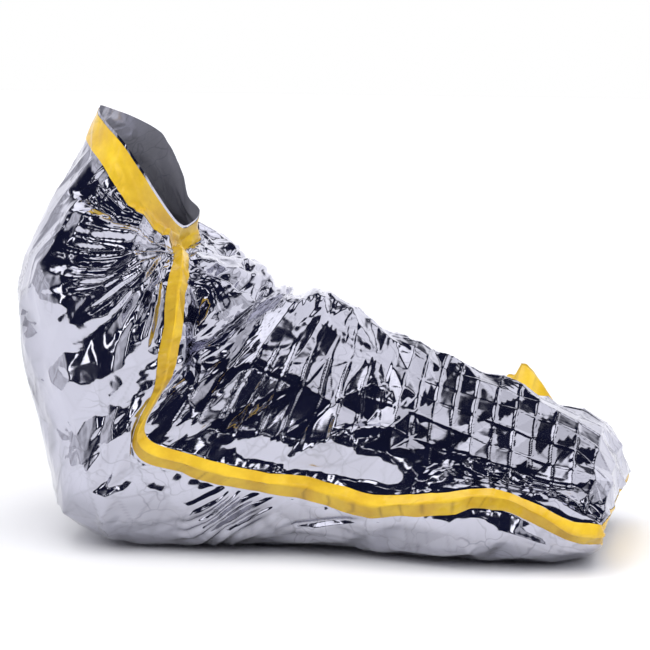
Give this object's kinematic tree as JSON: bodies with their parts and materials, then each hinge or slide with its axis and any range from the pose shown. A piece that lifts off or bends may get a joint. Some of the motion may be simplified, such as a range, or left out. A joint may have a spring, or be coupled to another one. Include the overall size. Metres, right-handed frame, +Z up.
{
  "type": "bivy sack",
  "caption": "Emergency bivy sack of metallised film with taped seams and a taped hood opening, standing open in the shape it takes round a seated wearer.",
  "frame": {"origin": "on the floor, under the middle of the bounding box", "axes": "+X from the wearer's back towards the feet, +Y towards the wearer's left, +Z up"},
  "size_m": [1.1002, 0.605, 0.7634],
  "materials": {
    "film": "aluminised polyester film, mirror bright where taut and finely creased elsewhere",
    "tape": "glossy yellow plastic tape, wrinkled with the film under it"
  },
  "bodies": {
    "root": {"film_front": "film", "film_back": "film", "tape_right": "tape", "tape_left": "tape", "tape_foot": "tape", "tape_hood": "tape"}
  },
  "joints": []
}
